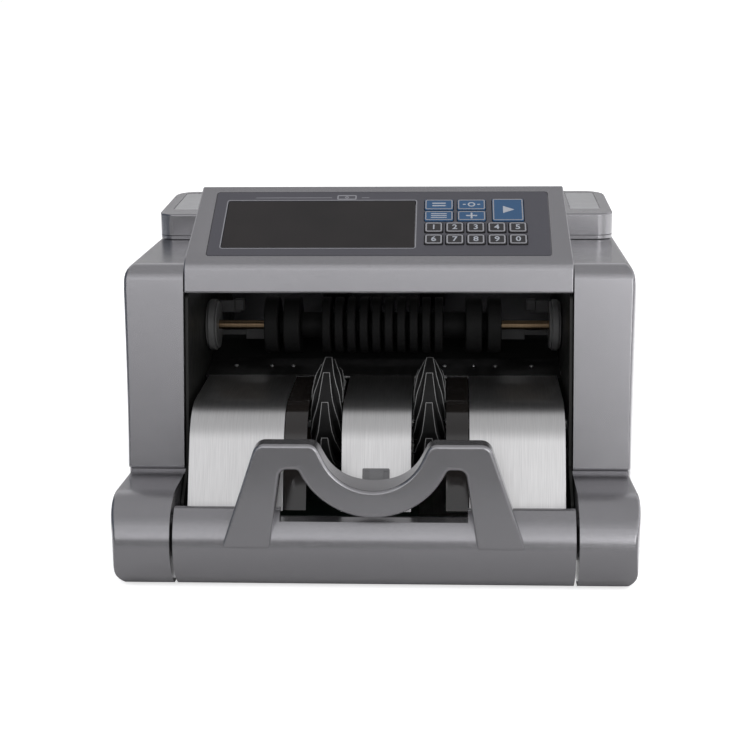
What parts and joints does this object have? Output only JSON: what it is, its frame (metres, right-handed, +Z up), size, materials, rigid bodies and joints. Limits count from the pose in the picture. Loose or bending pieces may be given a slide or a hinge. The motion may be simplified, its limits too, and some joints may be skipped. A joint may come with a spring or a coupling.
{
  "type": "banknote counting machine",
  "caption": "Desk-top banknote counter: open stacker pocket behind an M-shaped stopper, sloping control panel with window and keys, hopper with sliding guides on top.",
  "frame": {"origin": "centre of the bounding box's base, on the desk under the rubber feet", "axes": "+X to the machine's right as its user faces it, +Y from the stacker to the back, +Z up"},
  "size_m": [0.2706, 0.241, 0.1847],
  "materials": {
    "silver_paint": "silver metallic paint on moulded plastic, satin, fine grain",
    "brushed_steel": "satin, brushed along the note path",
    "dark_steel": "black powder coat",
    "brass_shaft": "turned, satin",
    "black_plastic": "fine moulded texture",
    "black_rubber": "matt",
    "white_plastic": "natural nylon, matt",
    "grey_overlay": "printed film, satin",
    "blue_key": "printed film, satin, light outline",
    "black_key": "printed film, satin, light outline",
    "smoked_window": "smoked acrylic, polished",
    "circuit_board": "green solder mask"
  },
  "bodies": {
    "chassis": {"left_side_panel": "silver_paint", "right_side_panel": "silver_paint", "front_base_cover": "silver_paint", "note_stopper": "silver_paint", "control_panel_cover": "silver_paint", "hopper_housing": "silver_paint", "left_hopper_cap": "silver_paint", "right_hopper_cap": "silver_paint", "rear_cover": "silver_paint", "base_plate": "brushed_steel", "stacker_plate": "brushed_steel", "left_frame_plate": "dark_steel", "right_frame_plate": "dark_steel", "main_motor": "dark_steel", "transformer": "dark_steel", "guide_plate": "black_plastic", "hopper_tray": "black_plastic", "power_inlet": "black_plastic", "front_left_foot": "black_rubber", "front_right_foot": "black_rubber", "rear_left_foot": "black_rubber", "rear_right_foot": "black_rubber", "drive_belt": "black_rubber", "panel_overlay": "grey_overlay", "display_window": "smoked_window", "left_sensor_strip": "smoked_window", "right_sensor_strip": "smoked_window", "main_board": "circuit_board", "display_board": "circuit_board"},
    "transport": {"transport_shaft": "brass_shaft", "transport_roller": "black_rubber", "left_end_disc": "white_plastic", "right_end_disc": "white_plastic"},
    "impeller": {"impeller_shaft": "brushed_steel", "impeller_pulley": "white_plastic", "left_impeller": "black_rubber", "right_impeller": "black_rubber"},
    "feed": {"feed_shaft": "brushed_steel", "left_feed_roller": "black_rubber", "right_feed_roller": "black_rubber"},
    "motor": {"motor_pulley": "white_plastic"},
    "left_guide": {"left_note_guide": "black_plastic"},
    "right_guide": {"right_note_guide": "black_plastic"},
    "rocker": {"power_rocker": "black_plastic"},
    "knob": {"gap_knob": "black_plastic"},
    "start_key_body": {"start_key": "blue_key"},
    "upper_left_function_key_body": {"upper_left_function_key": "blue_key"},
    "upper_right_function_key_body": {"upper_right_function_key": "blue_key"},
    "lower_left_function_key_body": {"lower_left_function_key": "blue_key"},
    "lower_right_function_key_body": {"lower_right_function_key": "blue_key"},
    "digit_key_1_body": {"digit_key_1": "black_key"},
    "digit_key_2_body": {"digit_key_2": "black_key"},
    "digit_key_3_body": {"digit_key_3": "black_key"},
    "digit_key_4_body": {"digit_key_4": "black_key"},
    "digit_key_5_body": {"digit_key_5": "black_key"},
    "digit_key_6_body": {"digit_key_6": "black_key"},
    "digit_key_7_body": {"digit_key_7": "black_key"},
    "digit_key_8_body": {"digit_key_8": "black_key"},
    "digit_key_9_body": {"digit_key_9": "black_key"},
    "digit_key_0_body": {"digit_key_0": "black_key"}
  },
  "joints": [
    {"name": "transport_spin", "type": "hinge", "parent": "chassis", "child": "transport", "pos_m": [0, 0.014, 0.1075], "axis": [1, 0, 0], "continuous": true},
    {"name": "impeller_spin", "type": "hinge", "parent": "chassis", "child": "impeller", "pos_m": [0, -0.04, 0.066], "axis": [1, 0, 0], "continuous": true},
    {"name": "feed_spin", "type": "hinge", "parent": "chassis", "child": "feed", "pos_m": [0, 0.042, 0.1285], "axis": [1, 0, 0], "continuous": true},
    {"name": "motor_spin", "type": "hinge", "parent": "chassis", "child": "motor", "pos_m": [0, 0.075, 0.04], "axis": [1, 0, 0], "continuous": true},
    {"name": "left_guide_slide", "type": "slide", "parent": "chassis", "child": "left_guide", "axis": [1, 0, 0], "range_m": [0, 0.025]},
    {"name": "right_guide_slide", "type": "slide", "parent": "chassis", "child": "right_guide", "axis": [-1, 0, 0], "range_m": [0, 0.025]},
    {"name": "rocker_tilt", "type": "hinge", "parent": "chassis", "child": "rocker", "pos_m": [0.062, 0.1145, 0.053], "axis": [1, 0, 0], "range_deg": [-12, 0]},
    {"name": "gap_knob_turn", "type": "hinge", "parent": "chassis", "child": "knob", "pos_m": [0, 0.0192, 0.1685], "axis": [0, 0, 1], "range_deg": [-180, 180]},
    {"name": "start_key_press", "type": "slide", "parent": "chassis", "child": "start_key_body", "axis": [0, 0.4695, -0.8829], "range_m": [0, 0.0005], "stiffness_N_per_m": 400},
    {"name": "upper_left_function_key_press", "type": "slide", "parent": "chassis", "child": "upper_left_function_key_body", "axis": [0, 0.4695, -0.8829], "range_m": [0, 0.0005], "stiffness_N_per_m": 400},
    {"name": "upper_right_function_key_press", "type": "slide", "parent": "chassis", "child": "upper_right_function_key_body", "axis": [0, 0.4695, -0.8829], "range_m": [0, 0.0005], "stiffness_N_per_m": 400},
    {"name": "lower_left_function_key_press", "type": "slide", "parent": "chassis", "child": "lower_left_function_key_body", "axis": [0, 0.4695, -0.8829], "range_m": [0, 0.0005], "stiffness_N_per_m": 400},
    {"name": "lower_right_function_key_press", "type": "slide", "parent": "chassis", "child": "lower_right_function_key_body", "axis": [0, 0.4695, -0.8829], "range_m": [0, 0.0005], "stiffness_N_per_m": 400},
    {"name": "digit_key_1_press", "type": "slide", "parent": "chassis", "child": "digit_key_1_body", "axis": [0, 0.4695, -0.8829], "range_m": [0, 0.0005], "stiffness_N_per_m": 400},
    {"name": "digit_key_2_press", "type": "slide", "parent": "chassis", "child": "digit_key_2_body", "axis": [0, 0.4695, -0.8829], "range_m": [0, 0.0005], "stiffness_N_per_m": 400},
    {"name": "digit_key_3_press", "type": "slide", "parent": "chassis", "child": "digit_key_3_body", "axis": [0, 0.4695, -0.8829], "range_m": [0, 0.0005], "stiffness_N_per_m": 400},
    {"name": "digit_key_4_press", "type": "slide", "parent": "chassis", "child": "digit_key_4_body", "axis": [0, 0.4695, -0.8829], "range_m": [0, 0.0005], "stiffness_N_per_m": 400},
    {"name": "digit_key_5_press", "type": "slide", "parent": "chassis", "child": "digit_key_5_body", "axis": [0, 0.4695, -0.8829], "range_m": [0, 0.0005], "stiffness_N_per_m": 400},
    {"name": "digit_key_6_press", "type": "slide", "parent": "chassis", "child": "digit_key_6_body", "axis": [0, 0.4695, -0.8829], "range_m": [0, 0.0005], "stiffness_N_per_m": 400},
    {"name": "digit_key_7_press", "type": "slide", "parent": "chassis", "child": "digit_key_7_body", "axis": [0, 0.4695, -0.8829], "range_m": [0, 0.0005], "stiffness_N_per_m": 400},
    {"name": "digit_key_8_press", "type": "slide", "parent": "chassis", "child": "digit_key_8_body", "axis": [0, 0.4695, -0.8829], "range_m": [0, 0.0005], "stiffness_N_per_m": 400},
    {"name": "digit_key_9_press", "type": "slide", "parent": "chassis", "child": "digit_key_9_body", "axis": [0, 0.4695, -0.8829], "range_m": [0, 0.0005], "stiffness_N_per_m": 400},
    {"name": "digit_key_0_press", "type": "slide", "parent": "chassis", "child": "digit_key_0_body", "axis": [0, 0.4695, -0.8829], "range_m": [0, 0.0005], "stiffness_N_per_m": 400}
  ],
  "couplings": [
    {"joint": "impeller_spin", "follows": "transport_spin", "ratio": 0.83333},
    {"joint": "feed_spin", "follows": "transport_spin", "ratio": 0.90909},
    {"joint": "motor_spin", "follows": "transport_spin", "ratio": 1.25}
  ]
}
